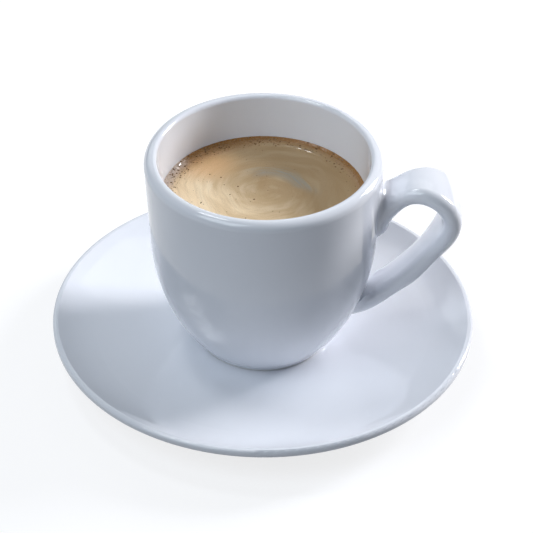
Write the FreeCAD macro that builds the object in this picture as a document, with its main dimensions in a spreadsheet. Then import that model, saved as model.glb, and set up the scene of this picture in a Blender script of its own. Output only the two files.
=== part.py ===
import FreeCAD, Part
import math
import os
import re
import Sketcher

# Coffee with milk in a porcelain cup on its saucer.
# Millimetres, +Z up. The origin is the centre of the saucer's foot ring on the table,
# and the cup's handle points along +X.

doc = FreeCAD.newDocument("CafeConLeche")

# ---------------------------------------------------------------- driving dimensions
# Heights of the saucer start at the table, heights of the cup and the coffee start at
# the bottom of the cup's foot ring. Widths and thicknesses of the handle are halves.
sizes = {
    # saucer
    "saucerRadius": 75.0,
    "saucerRimHeight": 16.6,
    "saucerEdge": 2.5,
    "saucerLip": 1.9,
    "saucerFloor": 8.0,
    "saucerFlat": 26.0,
    "saucerSlopeRadius": 60.0,
    "saucerSlopeRise": 3.8,
    "saucerWall": 4.2,
    "saucerFootOuter": 41.0,
    "saucerFootInner": 37.4,
    "saucerFootTall": 3.4,
    "saucerFootDraft": 0.9,
    "saucerEdgeRound": 1.1,
    # cup body
    "cupHeight": 76.5,
    "rimRadius": 41.1,
    "waistRadius": 39.3,
    "waistHeight": 42.0,
    "heelRadius": 27.7,
    "heelHeight": 7.0,
    "soleRadius": 24.9,
    "soleHeight": 3.2,
    "footOuter": 22.8,
    "footInner": 19.4,
    "footTop": 23.7,
    "footTall": 2.9,
    "footDraft": 0.6,
    "footRecess": 1.9,
    "footRound": 0.7,
    # cup inside
    "lipThick": 4.5,
    "innerWaistRadius": 34.2,
    "innerWaistHeight": 44.0,
    "innerHeelRadius": 31.0,
    "innerHeelHeight": 24.0,
    "innerFloor": 6.5,
    "innerFloorRadius": 8.0,
    "lipOuterRound": 3.1,
    "lipInnerRound": 1.3,
    # handle: its middle line is three arcs that turn from the wall, up, over and down
    "handleStartOut": 33.7,
    "handleStartUp": 47.9,
    "rootHeading": 60.4,
    "rootBend": 47.4,
    "crownHeading": 34.5,
    "crownBend": 10.8,
    "armHeading": -115.0,
    "armBend": 75.8,
    "endHeading": -156.0,
    "armWidth": 7.2,
    "strapThick": 3.64,
    "strapEdge": 0.88,
    "rootMiddle": 7.0,
    "rootReach": 12.4,
    "rootWiden": 1.0,
    "rootThicken": 3.7,
    "crownMiddle": 40.8,
    "crownReach": 23.9,
    "crownWiden": 3.5,
    "endReach": 23.0,
    "endThicken": 0.4,
    "rootFillet": 2.2,
    # coffee
    "coffeeBelowRim": 16.6,
    "meniscusRise": 0.5,
    "meniscusReach": 1.2,
}

sheet = doc.addObject("Spreadsheet::Sheet", "Sizes")
for row, (alias, value) in enumerate(sizes.items(), start=1):
    sheet.set(f"A{row}", alias)
    sheet.set(f"B{row}", str(value))
    sheet.setAlias(f"B{row}", alias)
doc.recompute()


# ---------------------------------------------------------------- helpers
def fromSheet(text):
    """Write every alias of the sheet in an expression as Sizes.alias."""
    def named(word):
        return f"Sizes.{word[0]}" if word[0] in sizes else word[0]
    return re.sub(r"[A-Za-z]+", named, text)


def newBody(label):
    body = doc.addObject("PartDesign::Body", label)
    body.Label = label
    return body


def newSketch(body, name, role):
    """An empty sketch on one of the body's own origin planes."""
    plane = next(f for f in body.Origin.OriginFeatures if f.Role == role)
    sketch = body.newObject("Sketcher::SketchObject", name)
    sketch.AttachmentSupport = [(plane, "")]
    sketch.MapMode = "FlatFace"
    return sketch


def bind(sketch, constraint, text):
    """Add a dimension whose value is an expression on the sheet."""
    number = sketch.addConstraint(constraint)
    sketch.setExpression(f"Constraints[{number}]", fromSheet(text))


def tangentArc(start, heading, end):
    """The arc that leaves start along heading and ends at end, and its last heading."""
    chord = end - start
    left = FreeCAD.Vector(-heading.y, heading.x, 0)
    reach = chord.dot(chord) / (2 * left.dot(chord))
    centre = start + left * reach
    first = math.atan2(start.y - centre.y, start.x - centre.x)
    last = math.atan2(end.y - centre.y, end.x - centre.x)
    circle = Part.Circle(centre, FreeCAD.Vector(0, 0, 1), abs(reach))
    spoke = (end - centre) * (1 / reach)
    lastHeading = FreeCAD.Vector(spoke.y, -spoke.x, 0) * -1
    if reach > 0:
        return Part.ArcOfCircle(circle, first, last), lastHeading, (1, 2)
    return Part.ArcOfCircle(circle, last, first), lastHeading, (2, 1)


def drawOutline(sketch, steps):
    """Draw a closed outline. Each step is (kind, x, y) and leads to the corner x, y:
    a line, or a bend that runs on tangent from the step before it."""
    corners = [[sketch.evalExpression(fromSheet(text)) for text in step[1:]] for step in steps]
    points = [FreeCAD.Vector(x, y, 0) for x, y in corners]
    tails = []
    heading = None
    for index, (kind, xText, yText) in enumerate(steps):
        start = points[index - 1]
        end = points[index]
        if kind == "bend":
            shape, heading, ends = tangentArc(start, heading, end)
        else:
            shape = Part.LineSegment(start, end)
            heading = (end - start).normalize()
            ends = (1, 2)
        edge = sketch.addGeometry(shape, False)
        if tails:
            joint = "Tangent" if kind == "bend" else "Coincident"
            sketch.addConstraint(Sketcher.Constraint(joint, *tails[-1], edge, ends[0]))
        tails.append((edge, ends[1]))
        if abs(end.x) < 1e-9:
            sketch.addConstraint(Sketcher.Constraint("PointOnObject", edge, ends[1], -2))
        else:
            bind(sketch, Sketcher.Constraint("DistanceX", -1, 1, edge, ends[1], end.x), xText)
        if abs(end.y) < 1e-9:
            sketch.addConstraint(Sketcher.Constraint("PointOnObject", edge, ends[1], -1))
        else:
            bind(sketch, Sketcher.Constraint("DistanceY", -1, 1, edge, ends[1], end.y), yText)
    sketch.addConstraint(Sketcher.Constraint("Coincident", *tails[-1], tails[0][0], 1))


def turn(body, kind, name, sketch):
    """Revolve an outline a full turn round the vertical axis, to add or to cut."""
    feature = body.newObject(f"PartDesign::{kind}", name)
    feature.Profile = sketch
    feature.ReferenceAxis = (sketch, ["V_Axis"])
    feature.Angle = 360.0
    doc.recompute()
    return feature


def ringEdges(feature, radius, height):
    """The names of a feature's full circles of one radius at one height."""
    names = []
    nearlyFull = 0.8 * 2 * math.pi * radius
    for index, edge in enumerate(feature.Shape.Edges, start=1):
        if edge.Curve.TypeId != "Part::GeomCircle" or edge.Length < nearlyFull:
            continue
        sameRadius = abs(edge.Curve.Radius - radius) < 0.01
        sameHeight = abs(edge.Curve.Center.z - height) < 0.01
        if sameRadius and sameHeight:
            names.append(f"Edge{index}")
    return names


def roundEdges(body, name, feature, edges, radiusText):
    if not edges:
        raise RuntimeError(f"{name}: no edge to round")
    fillet = body.newObject("PartDesign::Fillet", name)
    fillet.Base = (feature, edges)
    fillet.setExpression("Radius", fromSheet(radiusText))
    doc.recompute()
    return fillet


def size(alias):
    return sheet.get(alias)


# ---------------------------------------------------------------- saucer
def makeSaucer():
    """A shallow dish on a foot ring: flat in the middle, then two slopes up to the rim."""
    body = newBody("saucer")
    outline = newSketch(body, "SaucerOutline", "XZ_Plane")
    drawOutline(outline, [
        ("line", "0", "saucerFloor"),
        ("line", "saucerFlat", "saucerFloor"),
        ("bend", "saucerSlopeRadius", "saucerFloor + saucerSlopeRise"),
        ("bend", "saucerRadius - saucerLip", "saucerRimHeight"),
        ("line", "saucerRadius", "saucerRimHeight"),
        ("line", "saucerRadius", "saucerRimHeight - saucerEdge"),
        ("line", "saucerSlopeRadius", "saucerFloor + saucerSlopeRise - saucerWall"),
        ("bend", "saucerFootOuter + saucerFootDraft", "saucerFootTall"),
        ("line", "saucerFootOuter", "0"),
        ("line", "saucerFootInner", "0"),
        ("line", "saucerFootInner - saucerFootDraft", "saucerFootTall"),
        ("line", "0", "saucerFootTall"),
    ])
    dish = turn(body, "Revolution", "SaucerBody", outline)
    radius = size("saucerRadius")
    top = size("saucerRimHeight")
    rim = ringEdges(dish, radius, top) + ringEdges(dish, radius, top - size("saucerEdge"))
    rim = roundEdges(body, "SaucerRim", dish, rim, "saucerEdgeRound")
    feet = ringEdges(rim, size("saucerFootOuter"), 0) + ringEdges(rim, size("saucerFootInner"), 0)
    roundEdges(body, "SaucerFoot", rim, feet, "footRound")
    return body


# ---------------------------------------------------------------- cup
# The inside wall runs straight from the lip to the waist, so its radius at a height is:
def insideWall(heightText):
    slope = "(rimRadius - lipThick - innerWaistRadius) / (cupHeight - innerWaistHeight)"
    return f"innerWaistRadius + {slope} * ({heightText} - innerWaistHeight)"


INSIDE = [
    ("line", "innerWaistRadius", "innerWaistHeight"),
    ("bend", "innerHeelRadius", "innerHeelHeight"),
    ("bend", "innerFloorRadius", "innerFloor"),
    ("line", "0", "innerFloor"),
]


def advance(centre, radius, heading):
    """The point of a clockwise arc where it has a heading, as two expressions."""
    x, z = centre
    return f"{x} - {radius} * sin({heading})", f"{z} + {radius} * cos({heading})"


def pivot(point, radius, heading):
    """The centre of the clockwise arc that leaves point along heading."""
    x, z = point
    return f"{x} + {radius} * sin({heading})", f"{z} - {radius} * cos({heading})"


def handleStations():
    """Stations along the handle's middle line, from the wall up, over and down:
    place as two expressions, heading as an expression, and length travelled."""
    point = ("handleStartOut", "handleStartUp")
    stations = []
    arcs = [
        ("rootBend", "rootHeading", "crownHeading", 3),
        ("crownBend", "crownHeading", "armHeading", 5),
        ("armBend", "armHeading", "endHeading", 6),
    ]
    travelled = 0.0
    for radius, first, last, count in arcs:
        centre = pivot(point, radius, first)
        swing = math.radians(size(first) - size(last))
        for step in range(count + 1):
            if step == 0 and stations:
                continue
            share = step / count
            heading = f"({first} + {share:.4g} * ({last} - {first}))"
            place = advance(centre, radius, heading)
            length = travelled + size(radius) * swing * share
            stations.append((place, heading, length))
        travelled += size(radius) * swing
        point = advance(centre, radius, last)
    return stations


def drawStrap(sketch, halfWidth, halfThick):
    """An oval of four tangent arcs: two crowned faces joined by two round edges."""
    edgeText = f"strapEdge * ({halfThick})"
    outText = f"{halfWidth} - {edgeText}"
    faceText = f"(({outText}) ^ 2 + ({halfThick}) ^ 2 - ({edgeText}) ^ 2)"
    faceText += f" / (2 * ({halfThick} - {edgeText}))"
    texts = (halfThick, edgeText, outText, faceText)
    thick, edge, out, face = (sketch.evalExpression(fromSheet(text)) for text in texts)
    lean = math.atan2(out, face - thick)
    half = math.pi / 2

    def arc(x, y, radius, first, last):
        circle = Part.Circle(FreeCAD.Vector(x, y, 0), FreeCAD.Vector(0, 0, 1), radius)
        return sketch.addGeometry(Part.ArcOfCircle(circle, first, last), False)

    right = arc(out, 0, edge, lean - half, half - lean)
    top = arc(0, thick - face, face, half - lean, half + lean)
    left = arc(-out, 0, edge, half + lean, 3 * half - lean)
    bottom = arc(0, face - thick, face, 3 * half - lean, 3 * half + lean)
    ring = (right, top, left, bottom)
    for one, following in zip(ring, ring[1:] + ring[:1]):
        sketch.addConstraint(Sketcher.Constraint("Tangent", one, 2, following, 1))
    for edgeArc in (right, left):
        sketch.addConstraint(Sketcher.Constraint("PointOnObject", edgeArc, 3, -1))
    bind(sketch, Sketcher.Constraint("DistanceX", -1, 1, right, 3, out), outText)
    bind(sketch, Sketcher.Constraint("DistanceX", left, 3, -1, 1, out), outText)
    for shape, text in ((right, edgeText), (left, edgeText), (top, faceText), (bottom, faceText)):
        radius = sketch.evalExpression(fromSheet(text))
        bind(sketch, Sketcher.Constraint("Radius", shape, radius), text)


def bell(place, middle, reach):
    """1 at middle, falling smoothly to 0 at reach from it."""
    return math.cos(math.pi / 2 * min(abs(place - middle) / reach, 1)) ** 2


def makeHandle(body):
    """A strap lofted through ovals: thick at its roots, widest over the crown."""
    anyTurn = 10
    sections = []
    stations = handleStations()
    for number, ((xText, zText), heading, length) in enumerate(stations, start=1):
        sketch = newSketch(body, f"Strap{number:02d}", "YZ_Plane")
        # any turn about X fixes the axis, and the expression then gives the angle
        sketch.AttachmentOffset = FreeCAD.Placement(
            FreeCAD.Vector(0, 0, 0), FreeCAD.Rotation(FreeCAD.Vector(1, 0, 0), anyTurn))
        sketch.setExpression(".AttachmentOffset.Base.y", fromSheet(zText))
        sketch.setExpression(".AttachmentOffset.Base.z", fromSheet(xText))
        sketch.setExpression(".AttachmentOffset.Rotation.Angle", fromSheet(f"-1 * {heading}"))
        root = bell(length, size("rootMiddle"), size("rootReach"))
        crown = bell(length, size("crownMiddle"), size("crownReach"))
        end = bell(length, stations[-1][2], size("endReach"))
        drawStrap(
            sketch,
            f"armWidth + {root:.4g} * rootWiden + {crown:.4g} * crownWiden",
            f"strapThick + {root:.4g} * rootThicken + {end:.4g} * endThicken",
        )
        sections.append(sketch)
    doc.recompute()
    strap = body.newObject("PartDesign::AdditiveLoft", "Handle")
    strap.Profile = sections[0]
    strap.Sections = sections[1:]
    strap.Ruled = False
    doc.recompute()
    return strap


def jointEdges(feature):
    """The edges where the lofted handle meets the turned wall of the cup. The tight
    upper edge of the lower joint, where the handle leans on the wall, stays sharp."""
    shape = feature.Shape
    between = (size("handleStartUp") + size("heelHeight")) / 2
    joint = {}
    for index, edge in enumerate(shape.Edges, start=1):
        faces = shape.ancestorsOfType(edge, Part.Face)
        lofted = [face.Surface.TypeId == "Part::GeomBSplineSurface" for face in faces]
        if len(faces) == 2 and any(lofted) and not all(lofted):
            joint[f"Edge{index}"] = edge.BoundBox.Center.z
    lower = [name for name, height in joint.items() if height < between]
    tight = max(lower, key=joint.get)
    return [name for name in joint if name != tight]


def makeCup():
    """Turned body and lofted handle in one piece, hollowed, with rounded edges."""
    body = newBody("cup")
    body.setExpression(".Placement.Base.z", fromSheet("saucerFloor"))
    outline = newSketch(body, "CupOutline", "YZ_Plane")
    drawOutline(outline, [
        ("line", "0", "cupHeight"),
        ("line", "rimRadius", "cupHeight"),
        ("line", "waistRadius", "waistHeight"),
        ("bend", "heelRadius", "heelHeight"),
        ("bend", "soleRadius", "soleHeight"),
        ("line", "footTop", "footTall"),
        ("line", "footOuter", "0"),
        ("line", "footInner", "0"),
        ("line", "footInner - footDraft", "footRecess"),
        ("line", "0", "footRecess"),
    ])
    turn(body, "Revolution", "CupBody", outline)
    strap = makeHandle(body)
    solid = strap.Shape.Volume
    hollow = newSketch(body, "CupInside", "YZ_Plane")
    drawOutline(hollow, [
        ("line", "0", "cupHeight"),
        ("line", "rimRadius - lipThick", "cupHeight"),
    ] + INSIDE)
    inside = turn(body, "Groove", "CupHollow", hollow)
    print("cup volume before and after the hollow", solid, inside.Shape.Volume)
    joint = roundEdges(body, "HandleRoots", inside, jointEdges(inside), "rootFillet")
    top = size("cupHeight")
    outer = ringEdges(joint, size("rimRadius"), top)
    lip = roundEdges(body, "LipOutside", joint, outer, "lipOuterRound")
    inner = ringEdges(lip, size("rimRadius") - size("lipThick"), top)
    lip = roundEdges(body, "LipInside", lip, inner, "lipInnerRound")
    feet = ringEdges(lip, size("footOuter"), 0) + ringEdges(lip, size("footInner"), 0)
    roundEdges(body, "CupFoot", lip, feet, "footRound")
    return body


# ---------------------------------------------------------------- coffee
def makeCoffee():
    """The drink fills the inside of the cup and climbs a little up the wall."""
    body = newBody("coffee")
    body.setExpression(".Placement.Base.z", fromSheet("saucerFloor"))
    level = "cupHeight - coffeeBelowRim"
    edge = f"({level} + meniscusRise)"
    outline = newSketch(body, "CoffeeOutline", "XZ_Plane")
    drawOutline(outline, [
        ("line", "0", level),
        ("line", f"{insideWall(edge)} - meniscusReach", level),
        ("bend", insideWall(edge), edge),
    ] + INSIDE)
    return turn(body, "Revolution", "CoffeeBody", outline)


makeSaucer()
makeCup()
makeCoffee()
doc.recompute()

# ---------------------------------------------------------------- check and write
for item in doc.Objects:
    if "Invalid" in item.State or "Error" in item.State:
        raise RuntimeError(f"{item.Name} failed: {item.State}")
os.makedirs("parts", exist_ok=True)
for body in doc.findObjects("PartDesign::Body"):
    shape = body.Shape
    if shape.isNull() or not shape.isValid() or len(shape.Solids) != 1:
        raise RuntimeError(f"{body.Label} is not one valid solid")
    shape.exportStep(f"parts/{body.Label}.step")
    box = shape.optimalBoundingBox()
    print(f"{body.Label}: {shape.Volume / 1000:.1f} cm3, {len(shape.Faces)} faces,"
          f" x {box.XMin:.2f} {box.XMax:.2f}, y {box.YMin:.2f} {box.YMax:.2f},"
          f" z {box.ZMin:.2f} {box.ZMax:.2f}")
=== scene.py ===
import bpy
import math
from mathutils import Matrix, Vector, noise


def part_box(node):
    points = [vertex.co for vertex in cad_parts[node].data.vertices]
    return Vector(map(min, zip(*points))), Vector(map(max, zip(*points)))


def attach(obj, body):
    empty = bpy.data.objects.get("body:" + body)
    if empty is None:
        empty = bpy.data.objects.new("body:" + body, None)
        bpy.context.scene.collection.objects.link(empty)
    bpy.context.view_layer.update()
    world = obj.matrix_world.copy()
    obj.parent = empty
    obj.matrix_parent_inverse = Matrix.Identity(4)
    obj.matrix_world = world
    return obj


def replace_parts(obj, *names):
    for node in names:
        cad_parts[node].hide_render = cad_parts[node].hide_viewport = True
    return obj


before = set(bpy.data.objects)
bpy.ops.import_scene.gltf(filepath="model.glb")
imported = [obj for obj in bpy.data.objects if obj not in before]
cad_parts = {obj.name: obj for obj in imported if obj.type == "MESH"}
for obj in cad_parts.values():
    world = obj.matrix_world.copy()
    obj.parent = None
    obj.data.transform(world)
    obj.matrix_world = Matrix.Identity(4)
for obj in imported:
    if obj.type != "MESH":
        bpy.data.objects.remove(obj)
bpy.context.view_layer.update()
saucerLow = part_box("saucer")[0]
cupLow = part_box("cup")[0]
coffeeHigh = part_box("coffee")[1]
print("frame loaded:", sorted(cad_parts))


def addNode(tree, kind, inputs=None, **settings):
    # inputs as {socket name or number: value, or another node's socket to link}
    node = tree.nodes.new(kind)
    for name, value in settings.items():
        setattr(node, name, value)
    for name, value in (inputs or {}).items():
        if isinstance(value, bpy.types.NodeSocket):
            tree.links.new(value, node.inputs[name])
        else:
            node.inputs[name].default_value = value
    return node


def calc(tree, operation, *values):
    return addNode(tree, "ShaderNodeMath", dict(enumerate(values)), operation=operation).outputs[0]


def vectorCalc(tree, operation, first, second=None, scale=None, output="Vector"):
    inputs = {0: first}
    if second is not None:
        inputs[1] = second
    if scale is not None:
        inputs["Scale"] = scale
    return addNode(tree, "ShaderNodeVectorMath", inputs, operation=operation).outputs[output]


def fade(tree, value, start, end, low=0.0, high=1.0):
    # smooth step from low where value is start to high where it is end
    node = addNode(tree, "ShaderNodeMapRange",
                   {"Value": value, "From Min": start, "From Max": end,
                    "To Min": low, "To Max": high},
                   interpolation_type="SMOOTHSTEP")
    return node.outputs["Result"]


def blendColour(tree, share, first, second, kind="MIX"):
    node = addNode(tree, "ShaderNodeMix", data_type="RGBA", blend_type=kind, clamp_factor=True)
    for socket, value in ((node.inputs[0], share), (node.inputs[6], first), (node.inputs[7], second)):
        if isinstance(value, bpy.types.NodeSocket):
            tree.links.new(value, socket)
        else:
            socket.default_value = value
    return node.outputs[2]


def grain(tree, place, scale, detail=3.0, roughness=0.5):
    node = addNode(tree, "ShaderNodeTexNoise",
                   {"Vector": place, "Scale": scale, "Detail": detail, "Roughness": roughness})
    return node.outputs["Fac"]


def newMaterial(name):
    material = bpy.data.materials.new(name)
    material.use_nodes = True
    tree = material.node_tree
    tree.nodes.clear()
    return material, tree


def newGroup(name, inputs, outputs):
    # inputs as {name: default number}, outputs as a list of number outputs
    group = bpy.data.node_groups.new(name, "ShaderNodeTree")
    group.interface.new_socket("Place", in_out="INPUT", socket_type="NodeSocketVector")
    for label, value in inputs.items():
        socket = group.interface.new_socket(label, in_out="INPUT", socket_type="NodeSocketFloat")
        socket.default_value = value
    for label in outputs:
        group.interface.new_socket(label, in_out="OUTPUT", socket_type="NodeSocketFloat")
    return group, group.nodes.new("NodeGroupInput"), group.nodes.new("NodeGroupOutput")


def newPiece(name, mesh, material):
    piece = bpy.data.objects.new(name, mesh)
    bpy.context.scene.collection.objects.link(piece)
    mesh.materials.clear()
    mesh.materials.append(material)
    return piece


cameraView = {
    "azimuth": 1.9,          # degrees round the object, towards the handle
    "elevation": 37.35,
    "distance": 0.793,
    "lens": 151.95,
    "roll": 0.46,
    "targetHeight": 0.0369,
    "targetShift": 0.00114,
    "sensor": 36,
}


def addCamera():
    turn, lift = math.radians(cameraView["azimuth"]), math.radians(cameraView["elevation"])
    right = Vector((math.cos(turn), math.sin(turn), 0))
    back = Vector((math.sin(turn) * math.cos(lift), -math.cos(turn) * math.cos(lift), math.sin(lift)))
    target = Vector((0, 0, cameraView["targetHeight"])) + right * cameraView["targetShift"]
    data = bpy.data.cameras.new("Camera")
    data.lens = cameraView["lens"]
    data.sensor_width = cameraView["sensor"]
    camera = bpy.data.objects.new("Camera", data)
    camera.location = target + back * cameraView["distance"]
    camera.rotation_euler = (-back).to_track_quat("-Z", "Y").to_euler()
    camera.rotation_euler.rotate_axis("Z", math.radians(cameraView["roll"]))
    bpy.context.scene.collection.objects.link(camera)
    bpy.context.scene.camera = camera


addCamera()


studio = {
    "worldColour": (0.74, 0.84, 1.0),
    "worldStrength": 0.065,      # a weak cool fill
    "floorGlow": 0.78,           # with its lit colour the open floor is about white
    "floorColour": (0.28, 0.29, 0.31, 1),
    "floorSpeckle": 0.03,
    "floorGrain": 900,
    "floorReach": 6.0,
    "floorDrop": -0.00005,       # just under the foot ring, so the two faces don't coincide
    "boxDistance": 1.2,
    "aim": (0, 0, 0.04),
    # degrees from the back towards the handle, degrees up, width, height, watts, colour
    "boxes": {
        "SoftBoxRight": (60, 24, 0.30, 0.60, 15.2, (0.99, 0.98, 1.0)),
        "SoftBoxFront": (224, 50, 0.70, 0.70, 6.0, (0.85, 0.93, 1.0)),
        "SoftBoxBack": (4, 50, 0.80, 0.40, 0.9, (1.0, 1.0, 1.0)),
        "SoftBoxLeft": (-34, 26, 0.45, 0.45, 0.6, (0.92, 0.96, 1.0)),
        "SoftBoxTop": (-61, 69, 0.24, 0.24, 2.2, (0.94, 0.97, 1.0)),
    },
}


def addStudio():
    world = bpy.data.worlds.new("Studio")
    world.use_nodes = True
    light = world.node_tree.nodes["Background"]
    light.inputs["Color"].default_value = (*studio["worldColour"], 1)
    light.inputs["Strength"].default_value = studio["worldStrength"]
    bpy.context.scene.world = world
    for name, (heading, lift, width, height, watts, colour) in studio["boxes"].items():
        turn, lift = math.radians(heading), math.radians(lift)
        way = Vector((math.sin(turn) * math.cos(lift), math.cos(turn) * math.cos(lift), math.sin(lift)))
        data = bpy.data.lights.new(name, "AREA")
        data.shape = "RECTANGLE"
        data.size, data.size_y = width, height
        data.energy = watts
        data.color = colour
        lamp = bpy.data.objects.new(name, data)
        lamp.location = Vector(studio["aim"]) + way * studio["boxDistance"]
        lamp.rotation_euler = (-way).to_track_quat("-Z", "Y").to_euler()
        bpy.context.scene.collection.objects.link(lamp)


def addFloor():
    material, tree = newMaterial("paleFloor")
    place = addNode(tree, "ShaderNodeTexCoord").outputs["Object"]
    speckle = grain(tree, place, studio["floorGrain"], 2)
    dark, light = 1 - studio["floorSpeckle"], 1 + studio["floorSpeckle"]
    tone = blendColour(tree, speckle, (dark, dark, dark, 1), (light, light, light, 1))
    colour = blendColour(tree, 1.0, studio["floorColour"], tone, "MULTIPLY")
    matte = addNode(tree, "ShaderNodeBsdfDiffuse", {"Color": colour})
    glow = addNode(tree, "ShaderNodeEmission", {"Color": (1, 1, 1, 1), "Strength": studio["floorGlow"]})
    lit = addNode(tree, "ShaderNodeAddShader", {0: matte.outputs[0], 1: glow.outputs[0]})
    path = addNode(tree, "ShaderNodeLightPath").outputs
    seen = calc(tree, "MAXIMUM", path["Is Camera Ray"], path["Is Glossy Ray"])
    seen = calc(tree, "MAXIMUM", seen, path["Is Transmission Ray"])
    shown = addNode(tree, "ShaderNodeMixShader", {0: seen, 1: matte.outputs[0], 2: lit.outputs[0]})
    addNode(tree, "ShaderNodeOutputMaterial", {"Surface": shown.outputs[0]})
    reach, drop = studio["floorReach"], studio["floorDrop"]
    mesh = bpy.data.meshes.new("Floor")
    corners = [(x, y, drop) for x, y in ((-reach, -reach), (reach, -reach), (reach, reach), (-reach, reach))]
    mesh.from_pydata(corners, [], [(0, 1, 2, 3)])
    newPiece("Floor", mesh, material)


addStudio()
addFloor()
bpy.context.scene.view_settings.view_transform = "Standard"
print("camera, lamps and floor made")


porcelain = {
    "glaze": (0.885, 0.905, 0.955, 1),
    "glazePooled": (0.85, 0.88, 0.945, 1),
    "bareClay": (0.80, 0.79, 0.76, 1),
    "roughness": (0.05, 0.09),   # least and most, over the glaze
    "glossFade": (0.3, 0.7),
    "bareRoughness": 0.75,
    "bumpDistance": 0.0004,
    "bumpStrength": 0.12,
    "swell": 1.0,                # slow unevenness of the fired glaze
    "dimples": 0.02,             # and its fine dimples, next to that
    "swellGrain": 45,
    "dimpleGrain": 900,
    "tintGrain": 28,
    "glossGrain": 160,
    "bareHeight": 0.0007,        # the foot rings are wiped clean of glaze up to here
    "bareWander": 0.0004,        # how far that edge wanders up and down
    "bareGrain": 300,
    "bareSoftness": 0.0003,
    "coat": 0.12,                # a share of mirror-smooth glaze on top
    "coatRoughness": 0.03,
    "refraction": 1.5,
}


def makeGlazeGroup():
    # height, colour and gloss variation of a fired glaze
    group, given, made = newGroup("firedGlaze", {"Swell": 1.0, "Dimples": 0.02}, ["Height", "Tint", "Gloss"])
    place = given.outputs["Place"]
    swell = calc(group, "MULTIPLY", grain(group, place, porcelain["swellGrain"], 2), given.outputs["Swell"])
    dimples = grain(group, place, porcelain["dimpleGrain"], 2)
    dimples = calc(group, "MULTIPLY", dimples, given.outputs["Dimples"])
    group.links.new(calc(group, "ADD", swell, dimples), made.inputs["Height"])
    group.links.new(grain(group, place, porcelain["tintGrain"], 3), made.inputs["Tint"])
    group.links.new(grain(group, place, porcelain["glossGrain"], 4, 0.6), made.inputs["Gloss"])
    return group


firedGlaze = makeGlazeGroup()


def makePorcelain(name, footHeight):
    material, tree = newMaterial(name)
    place = addNode(tree, "ShaderNodeTexCoord").outputs["Object"]
    glaze = addNode(tree, "ShaderNodeGroup", node_tree=firedGlaze)
    tree.links.new(place, glaze.inputs["Place"])
    glaze.inputs["Swell"].default_value = porcelain["swell"]
    glaze.inputs["Dimples"].default_value = porcelain["dimples"]
    height = addNode(tree, "ShaderNodeSeparateXYZ", {0: place}).outputs["Z"]
    edge = footHeight + porcelain["bareHeight"]
    wander = calc(tree, "MULTIPLY", grain(tree, place, porcelain["bareGrain"], 2), porcelain["bareWander"])
    bare = calc(tree, "ADD", height, wander)
    bare = fade(tree, bare, edge, edge + porcelain["bareSoftness"], 1.0, 0.0)
    colour = blendColour(tree, glaze.outputs["Tint"], porcelain["glaze"], porcelain["glazePooled"])
    colour = blendColour(tree, bare, colour, porcelain["bareClay"])
    sheen = fade(tree, glaze.outputs["Gloss"], *porcelain["glossFade"], *porcelain["roughness"])
    roughness = calc(tree, "MAXIMUM", sheen, calc(tree, "MULTIPLY", bare, porcelain["bareRoughness"]))
    bump = addNode(tree, "ShaderNodeBump", {
        "Height": glaze.outputs["Height"], "Strength": porcelain["bumpStrength"],
        "Distance": porcelain["bumpDistance"]})
    shader = addNode(tree, "ShaderNodeBsdfPrincipled", {
        "Base Color": colour, "Roughness": roughness, "Normal": bump.outputs[0],
        "IOR": porcelain["refraction"], "Coat IOR": porcelain["refraction"],
        "Coat Weight": porcelain["coat"], "Coat Roughness": porcelain["coatRoughness"]})
    addNode(tree, "ShaderNodeOutputMaterial", {"Surface": shader.outputs[0]})
    return material


def dressNode(node, material):
    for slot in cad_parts[node].material_slots:
        slot.material = material


dressNode("cup", makePorcelain("cupGlaze", cupLow.z))
dressNode("saucer", makePorcelain("saucerGlaze", saucerLow.z))
print("cup and saucer glazed")


coffee = {
    "wallRings": 60,             # close rings over the part nearest the wall
    "wallStep": 0.00012,
    "foamRings": 62,
    "spokes": 480,
    "meniscusReach": 0.0018,     # how far in from the wall the surface starts to climb
    "meniscusPower": 3.2,
    "edgeDepth": 0.002,          # the CAD solid's climbing edge is shallower than this
    "sideStep": 0.001,           # least distance between the points taken from its side
    "heldWithin": 0.0005,        # the surface lies still this near the wall
    "relief": 0.00005,           # slow unevenness of the foam
    "reliefGrain": 70,
    "edgeRelief": 0.00016,       # lumpier where small bubbles gather at the wall
    "edgeGrain": 900,
    "edgeBand": 0.0045,
    "crowdHeading": 120,         # degrees, where most bubbles gather
    "crowdLeast": 0.25,
    "crowdSharpness": 1.5,
    # wet ridges in the foam: heading and half length in degrees, in from the wall, half width, height
    "ridges": [
        (66, 11, 0.0044, 0.00036, 0.00036),
        (158, 12, 0.0010, 0.00034, 0.00050),
    ],
    "ridgeLumps": (620, 0.75, 0.9),      # how fine the lumps along a ridge are, plain share, lumpy share
    "ridgeWander": (260, 0.0003),        # how fine and how far a ridge strays
    "ridgeWetness": 1.4,
}


def readCoffee():
    # level of the drink, and points down its side a millimetre or more apart, as (radius, height)
    points = [(v.co.z, math.hypot(v.co.x, v.co.y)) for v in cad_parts["coffee"].data.vertices]
    level = min(height for height, radius in points if height > coffeeHigh.z - coffee["edgeDepth"])
    side = []
    for height, radius in sorted(points):
        spot = Vector((radius, height))
        apart = not side or (spot - side[-1]).length > coffee["sideStep"]
        if height < level - coffee["sideStep"] and apart:
            side.append(spot)
    return level, [tuple(spot) for spot in side] + [(coffeeHigh.x, coffeeHigh.z)]


def crowding(x, y):
    # 1 towards the side where small bubbles gather, and least across the cup from there
    turn = math.atan2(y, x) - math.radians(coffee["crowdHeading"])
    least = coffee["crowdLeast"]
    return least + (1 - least) * math.exp(coffee["crowdSharpness"] * (math.cos(turn) - 1))


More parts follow.
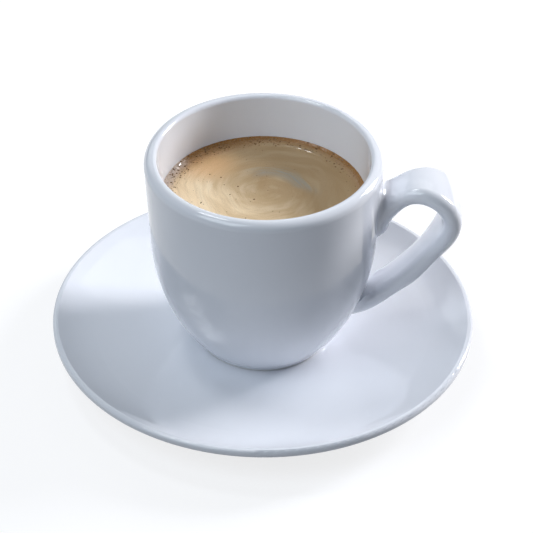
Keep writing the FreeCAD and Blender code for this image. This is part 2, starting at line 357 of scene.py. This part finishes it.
def ridgeShare(x, y, edge):
    # how much of each wet ridge stands at a point, broken up along its length
    shares = []
    inward = edge - math.hypot(x, y)
    lumpGrain, plain, lumpy = coffee["ridgeLumps"]
    wanderGrain, stray = coffee["ridgeWander"]
    lumps = plain + lumpy * noise.noise(Vector((x, y, 0.003)) * lumpGrain)
    wander = stray * noise.noise(Vector((x, y, 0.007)) * wanderGrain)
    for ridge in coffee["ridges"]:
        heading, halfLength, middle, halfWidth = ridge[:4]
        along = (math.degrees(math.atan2(y, x)) - heading) / halfLength
        across = (inward - middle + wander) / halfWidth
        shares.append(lumps * math.exp(-along ** 4 - across ** 2 / 2))
    return shares


def foamHeight(x, y, level, edge):
    # climbs at the wall, uneven and lumpy in between
    inward = edge - math.hypot(x, y)
    spot = Vector((x, y, 0.0))
    climb = max(0.0, 1 - inward / coffee["meniscusReach"]) ** coffee["meniscusPower"]
    rise = (coffeeHigh.z - level) * climb
    band = max(0.0, 1 - inward / coffee["edgeBand"])
    held = min(1.0, inward / coffee["heldWithin"])
    slow = noise.noise(spot * coffee["reliefGrain"]) * coffee["relief"]
    lumps = noise.noise(spot * coffee["edgeGrain"]) * coffee["edgeRelief"] * band * crowding(x, y)
    ridges = sum(share * ridge[4] for share, ridge in zip(ridgeShare(x, y, edge), coffee["ridges"]))
    return level + rise + held * (slow + lumps + ridges)


def makeCoffeeMesh():
    # rings from the bottom up the side, in over the foam, and a point in the middle of each end
    level, side = readCoffee()
    edge = side[-1][0]
    spokes = coffee["spokes"]
    rings = list(side[1:])
    for step in range(1, coffee["wallRings"] + 1):
        rings.append((edge - step * coffee["wallStep"], None))
    inner = rings[-1][0]
    for step in range(1, coffee["foamRings"]):
        rings.append((inner * (1 - step / coffee["foamRings"]), None))
    points = [(0, 0, side[0][1])]
    for radius, height in rings:
        for spoke in range(spokes):
            turn = 2 * math.pi * spoke / spokes
            x, y = radius * math.cos(turn), radius * math.sin(turn)
            points.append((x, y, foamHeight(x, y, level, edge) if height is None else height))
    points.append((0, 0, foamHeight(0, 0, level, edge)))
    around = [(s, (s + 1) % spokes) for s in range(spokes)]
    faces = [(0, 1 + after, 1 + s) for s, after in around]
    for ring in range(len(rings) - 1):
        low, high = 1 + ring * spokes, 1 + (ring + 1) * spokes
        faces += [(low + s, low + after, high + after, high + s) for s, after in around]
    last = 1 + (len(rings) - 1) * spokes
    faces += [(last + s, last + after, len(points) - 1) for s, after in around]
    mesh = bpy.data.meshes.new("coffeeMesh")
    mesh.from_pydata(points, [], faces)
    mesh.shade_smooth()
    wet = [min(1.0, sum(ridgeShare(x, y, edge)) * coffee["ridgeWetness"]) for x, y, z in points]
    mesh.attributes.new("wet", "FLOAT", "POINT").data.foreach_set("value", wet)
    return mesh, level, edge


foam = {
    # lengths in millimetres from the cup's middle, headings in degrees
    "swirlMiddle": (1.3, 2.0, 0),
    "twist": 0.10,               # how far the swirl winds up, radians a millimetre
    "wobble": (0.07, 7.0),       # how slowly and how far its streaks stray from circles
    "broadStreaks": (0.9, 4.2, 2, 0.45),     # noise round the swirl, thickness, detail, roughness
    "fineStreaks": (1.3, 1.0, 4, 0.6),
    "cloudGrain": 0.09,
    "shadeWay": (0.62, 0.78, 0),   # towards the far side, where painted shade of the cup's rim darkens the foam
    "orangeSpot": (-20.5, 18, 0),
    "arcRadius": 11.8,           # an arc of grey milk round the swirl
    "arcHeading": 62,
    "arcWobble": 0.35,           # its share of the streaks' straying
    "arcTailHeading": -18,
    "arcTailGrowth": 3.8,
    "bandHeading": 127,          # where the brown bubbly band is widest
    "bandWidths": (2.3, 5.2),
    "bandTears": (0.45, 2.6),    # how fine and how deep its inner edge is torn
    "bandGrain": 1.5,
    "filmHeading": 163,          # thin milk against the wall
    "filmGrain": 1.6,
    "pitsPerMm": 2.4,
    "pitGrain": 1.4,
    "pitThinning": 0.003,        # fewer pits away from the wall
    "pitShare": 0.40,
    "frothPerMm": 6.0,
    "frothHeight": 0.35,
    "speckleGrain": 4.0,
    "lumpGrain": 1.1,
    "bumpStrength": 0.4,
    "bumpDistance": 0.00009,
    "streakDryness": 0.08,
    "wetRoughness": 0.05,
    "wetCoatRoughness": 0.06,
    "wetRefraction": 1.5,
    "refraction": 1.36,
    # fades as (from, to, share at the first, share at the second)
    "cloudFade": (0.36, 0.66, 0.0, 0.55),
    # painted shade of the cup's rim, growing towards the far side of the foam
    "shadeFade": (-17, 6, 0.0, 0.76),
    "deepShadeFade": (4, 32, 0.0, 0.35),
    "calmFade": (1.0, 9.0, 0.25, 1.0),       # the streaks soften in the middle of the swirl
    "paleStreakFade": (0.48, 0.76, 0.0, 0.32),
    # the pale streaks fade out in that painted shade
    "paleShadeFade": (-4, 20, 1.0, 0.35),
    "darkStreakFade": (0.42, 0.72, 0.0, 0.27),
    "orangeFade": (3, 15, 0.55, 0.0),
    "arcFade": (0.0, 4.4, 1.0, 0.0),
    "arcEndFade": (0.30, 0.85, 0.0, 1.0),
    "arcTailFade": (0.74, 1.0, 0.0, 1.0),
    "arcFeather": (0.2, 0.8, -1.2, 1.2),
    "arcStreakFade": (0.30, 0.62, 0.95, 0.45),
    "bandFade": (0.1, 2.0, 0.95, 0.0),
    "bandSideFade": (0.78, 1.0, 0.0, 1.0),
    "bandGrainFade": (0.34, 0.58, 0.50, 1.0),
    "filmFade": (1.2, 4.6, 0.9, 0.0),
    "filmSideFade": (0.93, 0.985, 0.0, 1.0),
    "filmGrainFade": (0.32, 0.55, 0.55, 1.0),
    "pitFade": (0.10, 0.32, 1.0, 0.0),
    "pitPatchFade": (0.46, 0.60, 0.0, 1.0),
    "speckleFade": (0.34, 0.66, 0.86, 1.10),
    "lumpFade": (1.0, 5.0, 3.0, 0.0),
    "drynessFade": (0.4, 3.2, 0.04, 0.36),   # wetter at the wall
    "creamLight": (0.96, 0.84, 0.63, 1),
    "cream": (0.95, 0.76, 0.51, 1),
    "tan": (0.68, 0.49, 0.28, 1),
    # painted shade: the foam's tan where the cup's rim shades it
    "shadedTan": (0.33, 0.20, 0.080, 1),
    "streakTan": (0.42, 0.26, 0.11, 1),
    "orangeTan": (0.86, 0.52, 0.26, 1),
    "greyMilk": (0.34, 0.33, 0.28, 1),
    "brown": (0.30, 0.132, 0.034, 1),
    "film": (0.68, 0.56, 0.47, 1),
    "pit": (0.22, 0.13, 0.065, 1),
}


def headingFade(tree, vector, heading, span):
    # fades in as a unit vector turns towards one heading
    way = (math.cos(math.radians(heading)), math.sin(math.radians(heading)), 0)
    return fade(tree, vectorCalc(tree, "DOT_PRODUCT", vector, way, output="Value"), *span)


def streakNoise(tree, around, reach, roundScale, thickness, detail, roughness):
    # noise drawn out along rings round the swirl
    rings = addNode(tree, "ShaderNodeCombineXYZ", {"Z": calc(tree, "DIVIDE", reach, thickness)}).outputs[0]
    spot = vectorCalc(tree, "ADD", vectorCalc(tree, "SCALE", around, scale=roundScale), rings)
    return grain(tree, spot, 1.0, detail, roughness)


def cellDistance(tree, place, perMm):
    return addNode(tree, "ShaderNodeTexVoronoi", {"Vector": place, "Scale": perMm, "Randomness": 1.0},
                   feature="F1").outputs["Distance"]


def makeFoam(edge):
    material, tree = newMaterial("milkFoam")
    place = addNode(tree, "ShaderNodeTexCoord").outputs["Object"]
    flat = vectorCalc(tree, "MULTIPLY", vectorCalc(tree, "SCALE", place, scale=1000), (1, 1, 0))
    unit = vectorCalc(tree, "NORMALIZE", flat)
    inward = calc(tree, "SUBTRACT", edge * 1000, vectorCalc(tree, "LENGTH", flat, output="Value"))

    # streaks drawn out round the middle of the swirl
    swirl = vectorCalc(tree, "SUBTRACT", flat, foam["swirlMiddle"])
    wobbleGrain, stray = foam["wobble"]
    wobble = addNode(tree, "ShaderNodeTexNoise",
                     {"Vector": flat, "Scale": wobbleGrain, "Detail": 1.0}).outputs["Color"]
    wobble = vectorCalc(tree, "SCALE", vectorCalc(tree, "SUBTRACT", wobble, (0.5, 0.5, 0.5)), scale=stray)
    bent = vectorCalc(tree, "ADD", swirl, wobble)
    reach = vectorCalc(tree, "LENGTH", bent, output="Value")
    turned = addNode(tree, "ShaderNodeVectorRotate",
                     {"Vector": bent, "Angle": calc(tree, "MULTIPLY", reach, foam["twist"])},
                     rotation_type="Z_AXIS").outputs[0]
    around = vectorCalc(tree, "NORMALIZE", turned)
    broad = streakNoise(tree, around, reach, *foam["broadStreaks"])
    fine = streakNoise(tree, around, reach, *foam["fineStreaks"])
    clouds = grain(tree, turned, foam["cloudGrain"], 3, 0.5)
    across = vectorCalc(tree, "DOT_PRODUCT", flat, foam["shadeWay"], output="Value")
    calm = fade(tree, reach, *foam["calmFade"])

    # darker and browner towards the far side: painted shade, where the cup's rim shades the foam
    colour = blendColour(tree, fade(tree, clouds, *foam["cloudFade"]), foam["cream"], foam["tan"])
    colour = blendColour(tree, fade(tree, across, *foam["shadeFade"]), colour, foam["shadedTan"])
    colour = blendColour(tree, fade(tree, across, *foam["deepShadeFade"]), colour, foam["shadedTan"])
    # the pale streaks fade out in the painted shade too
    pale = calc(tree, "MULTIPLY", fade(tree, broad, *foam["paleStreakFade"]),
                fade(tree, across, *foam["paleShadeFade"]))
    colour = blendColour(tree, calc(tree, "MULTIPLY", pale, calm), colour, foam["creamLight"])
    dark = calc(tree, "MULTIPLY", fade(tree, fine, *foam["darkStreakFade"]), calm)
    colour = blendColour(tree, dark, colour, foam["streakTan"])
    orange = vectorCalc(tree, "DISTANCE", flat, foam["orangeSpot"], output="Value")
    colour = blendColour(tree, fade(tree, orange, *foam["orangeFade"]), colour, foam["orangeTan"])

    # an arc of grey milk round the swirl, drawn outwards at its tail
    milk = vectorCalc(tree, "ADD", swirl, vectorCalc(tree, "SCALE", wobble, scale=foam["arcWobble"]))
    milkUnit = vectorCalc(tree, "NORMALIZE", milk)
    tail = headingFade(tree, milkUnit, foam["arcTailHeading"], foam["arcTailFade"])
    radius = calc(tree, "ADD", calc(tree, "MULTIPLY", tail, foam["arcTailGrowth"]), foam["arcRadius"])
    away = calc(tree, "SUBTRACT", vectorCalc(tree, "LENGTH", milk, output="Value"), radius)
    away = calc(tree, "ABSOLUTE", calc(tree, "ADD", away, fade(tree, fine, *foam["arcFeather"])))
    arc = calc(tree, "MULTIPLY", fade(tree, away, *foam["arcFade"]),
               headingFade(tree, milkUnit, foam["arcHeading"], foam["arcEndFade"]))
    arc = calc(tree, "MULTIPLY", arc, fade(tree, fine, *foam["arcStreakFade"]))
    colour = blendColour(tree, arc, colour, foam["greyMilk"])

    # brown line at the wall, widest in a bubbly band on one side
    narrow, wide = foam["bandWidths"]
    side = headingFade(tree, unit, foam["bandHeading"], foam["bandSideFade"])
    band = calc(tree, "ADD", calc(tree, "MULTIPLY", side, wide - narrow), narrow)
    tearGrain, tearDepth = foam["bandTears"]
    torn = calc(tree, "SUBTRACT", grain(tree, flat, tearGrain, 5, 0.65), 0.5)
    torn = calc(tree, "ADD", inward, calc(tree, "MULTIPLY", torn, tearDepth))
    patches = fade(tree, grain(tree, flat, foam["bandGrain"], 4, 0.7), *foam["bandGrainFade"])
    brown = calc(tree, "MULTIPLY", fade(tree, calc(tree, "DIVIDE", torn, band), *foam["bandFade"]), patches)
    colour = blendColour(tree, brown, colour, foam["brown"])

    # thin milk against the wall
    patches = fade(tree, grain(tree, flat, foam["filmGrain"], 3, 0.6), *foam["filmGrainFade"])
    film = calc(tree, "MULTIPLY", headingFade(tree, unit, foam["filmHeading"], foam["filmSideFade"]),
                fade(tree, torn, *foam["filmFade"]))
    colour = blendColour(tree, calc(tree, "MULTIPLY", film, patches), colour, foam["film"])

    # the finest bubbles and pits of the foam
    patches = calc(tree, "SUBTRACT", grain(tree, flat, foam["pitGrain"], 2),
                   calc(tree, "MULTIPLY", inward, foam["pitThinning"]))
    pits = calc(tree, "MULTIPLY", fade(tree, cellDistance(tree, flat, foam["pitsPerMm"]), *foam["pitFade"]),
                fade(tree, patches, *foam["pitPatchFade"]))
    colour = blendColour(tree, calc(tree, "MULTIPLY", pits, foam["pitShare"]), colour, foam["pit"])
    speckle = fade(tree, grain(tree, flat, foam["speckleGrain"], 3, 0.75), *foam["speckleFade"])
    tone = addNode(tree, "ShaderNodeCombineXYZ", {"X": speckle, "Y": speckle, "Z": speckle}).outputs[0]
    colour = blendColour(tree, 1.0, colour, tone, "MULTIPLY")
    froth = calc(tree, "MULTIPLY", cellDistance(tree, flat, foam["frothPerMm"]), foam["frothHeight"])
    lumps = calc(tree, "MULTIPLY", grain(tree, flat, foam["lumpGrain"], 3, 0.6),
                 fade(tree, inward, *foam["lumpFade"]))
    height = calc(tree, "ADD", calc(tree, "SUBTRACT", froth, pits), lumps)
    bump = addNode(tree, "ShaderNodeBump", {
        "Height": height, "Strength": foam["bumpStrength"], "Distance": foam["bumpDistance"]})

    # the ridges are wet and mirror the lamps
    wet = addNode(tree, "ShaderNodeAttribute", attribute_name="wet").outputs["Fac"]
    dry = calc(tree, "ADD", fade(tree, inward, *foam["drynessFade"]),
               calc(tree, "MULTIPLY", fine, foam["streakDryness"]))
    roughness = calc(tree, "MULTIPLY", dry, calc(tree, "SUBTRACT", 1.0, wet))
    shader = addNode(tree, "ShaderNodeBsdfPrincipled", {
        "Base Color": colour, "Roughness": calc(tree, "ADD", roughness, foam["wetRoughness"]),
        "Normal": bump.outputs[0], "IOR": foam["refraction"], "Coat Weight": wet,
        "Coat Roughness": foam["wetCoatRoughness"], "Coat IOR": foam["wetRefraction"]})
    addNode(tree, "ShaderNodeOutputMaterial", {"Surface": shader.outputs[0]})
    return material


bubbleSkin = {
    "dark": (0.15, 0.08, 0.035, 1),
    "pale": (0.34, 0.21, 0.11, 1),
    "grain": 1400,
    "grainFade": (0.35, 0.65),
    "roughness": 0.09,
    "refraction": 1.36,
}


def makeBubbleSkin():
    material, tree = newMaterial("bubbleSkin")
    place = addNode(tree, "ShaderNodeTexCoord").outputs["Object"]
    tone = fade(tree, grain(tree, place, bubbleSkin["grain"], 2), *bubbleSkin["grainFade"])
    shader = addNode(tree, "ShaderNodeBsdfPrincipled", {
        "Base Color": blendColour(tree, tone, bubbleSkin["dark"], bubbleSkin["pale"]),
        "Roughness": bubbleSkin["roughness"], "IOR": bubbleSkin["refraction"]})
    addNode(tree, "ShaderNodeOutputMaterial", {"Surface": shader.outputs[0]})
    return material


def makeBubbleTree():
    # small bubbles scattered over the foam
    tree = bpy.data.node_groups.new("scatteredBubbles", "GeometryNodeTree")
    face = tree.interface
    face.new_socket("Foam", in_out="INPUT", socket_type="NodeSocketGeometry")
    for label in ("Bubbles per m2", "Smallest", "Largest", "Flatness"):
        face.new_socket(label, in_out="INPUT", socket_type="NodeSocketFloat")
    face.new_socket("Seed", in_out="INPUT", socket_type="NodeSocketInt").default_value = 1
    face.new_socket("Skin", in_out="INPUT", socket_type="NodeSocketMaterial")
    face.new_socket("Bubbles", in_out="OUTPUT", socket_type="NodeSocketGeometry")
    given = tree.nodes.new("NodeGroupInput").outputs
    crowd = addNode(tree, "GeometryNodeInputNamedAttribute", {"Name": "crowd"}, data_type="FLOAT").outputs[0]
    density = calc(tree, "MULTIPLY", crowd, given["Bubbles per m2"])
    points = addNode(tree, "GeometryNodeDistributePointsOnFaces",
                     {"Mesh": given["Foam"], "Density": density, "Seed": given["Seed"]})
    # most bubbles are small: the random share is cubed
    number = addNode(tree, "GeometryNodeInputIndex").outputs[0]
    share = addNode(tree, "FunctionNodeRandomValue", {"ID": number, "Seed": given["Seed"]},
                    data_type="FLOAT").outputs[1]
    share = calc(tree, "POWER", share, 3.0)
    growth = calc(tree, "MULTIPLY", share, calc(tree, "SUBTRACT", given["Largest"], given["Smallest"]))
    radius = calc(tree, "ADD", given["Smallest"], growth)
    scale = addNode(tree, "ShaderNodeCombineXYZ",
                    {"X": radius, "Y": radius, "Z": calc(tree, "MULTIPLY", radius, given["Flatness"])})
    ball = addNode(tree, "GeometryNodeMeshIcoSphere", {"Radius": 1.0, "Subdivisions": 2})
    placed = addNode(tree, "GeometryNodeInstanceOnPoints",
                     {"Points": points.outputs["Points"], "Instance": ball.outputs["Mesh"],
                      "Scale": scale.outputs[0]})
    real = addNode(tree, "GeometryNodeRealizeInstances", {"Geometry": placed.outputs[0]})
    smooth = addNode(tree, "GeometryNodeSetShadeSmooth", {"Geometry": real.outputs[0]})
    skinned = addNode(tree, "GeometryNodeSetMaterial",
                      {"Geometry": smooth.outputs[0], "Material": given["Skin"]})
    addNode(tree, "NodeGroupOutput", {"Bubbles": skinned.outputs[0]})
    return tree


def foamPatch(inner, outer, level, edge):
    # the part of the foam between two radii, with how crowded its bubbles are at each point
    rings, spokes = 12, 96
    around = [(s, (s + 1) % spokes) for s in range(spokes)]
    points, crowd, faces = [], [], []
    for ring in range(rings + 1):
        radius = inner + (outer - inner) * ring / rings
        for spoke in range(spokes):
            turn = 2 * math.pi * spoke / spokes
            x, y = radius * math.cos(turn), radius * math.sin(turn)
            points.append((x, y, foamHeight(x, y, level, edge)))
            crowd.append(crowding(x, y))
    for ring in range(rings):
        low, high = ring * spokes, (ring + 1) * spokes
        faces += [(low + s, high + s, high + after, low + after) for s, after in around]
    mesh = bpy.data.meshes.new("foamPatch")
    mesh.from_pydata(points, [], faces)
    mesh.attributes.new("crowd", "FLOAT", "POINT").data.foreach_set("value", crowd)
    return mesh


bubbleSets = {
    # name: inner radius, outer radius, bubbles per m2, smallest, largest, flatness, seed
    "coffee-edge-bubbles": (0.0298, 0.0353, 1350000, 0.00007, 0.00040, 0.7, 4),
    "coffee-pin-bubbles": (0.0010, 0.0310, 48000, 0.00009, 0.00034, 0.5, 7),
}


def makeBubbles(name, tree, skin, level, edge):
    inner, outer, density, smallest, largest, flatness, seed = bubbleSets[name]
    source = bpy.data.objects.new("bubbleSource", foamPatch(inner, outer, level, edge))
    bpy.context.scene.collection.objects.link(source)
    modifier = source.modifiers.new("Bubbles", "NODES")
    modifier.node_group = tree
    values = {"Bubbles per m2": density, "Smallest": smallest, "Largest": largest,
              "Flatness": flatness, "Seed": seed, "Skin": skin}
    for item in tree.interface.items_tree:
        if item.in_out == "INPUT" and item.name in values:
            modifier[item.identifier] = values[item.name]
    graph = bpy.context.evaluated_depsgraph_get()
    mesh = bpy.data.meshes.new_from_object(source.evaluated_get(graph), depsgraph=graph)
    bpy.data.objects.remove(source)
    piece = newPiece(name, mesh, skin)
    print(name, len(mesh.polygons), "faces")
    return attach(piece, "root")


def addCoffee():
    mesh, level, edge = makeCoffeeMesh()
    drink = newPiece("coffee-with-foam", mesh, makeFoam(edge))
    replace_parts(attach(drink, "root"), "coffee")
    print("coffee:", len(mesh.polygons), "faces")
    tree, skin = makeBubbleTree(), makeBubbleSkin()
    for name in bubbleSets:
        makeBubbles(name, tree, skin, level, edge)


addCoffee()
print("coffee poured")
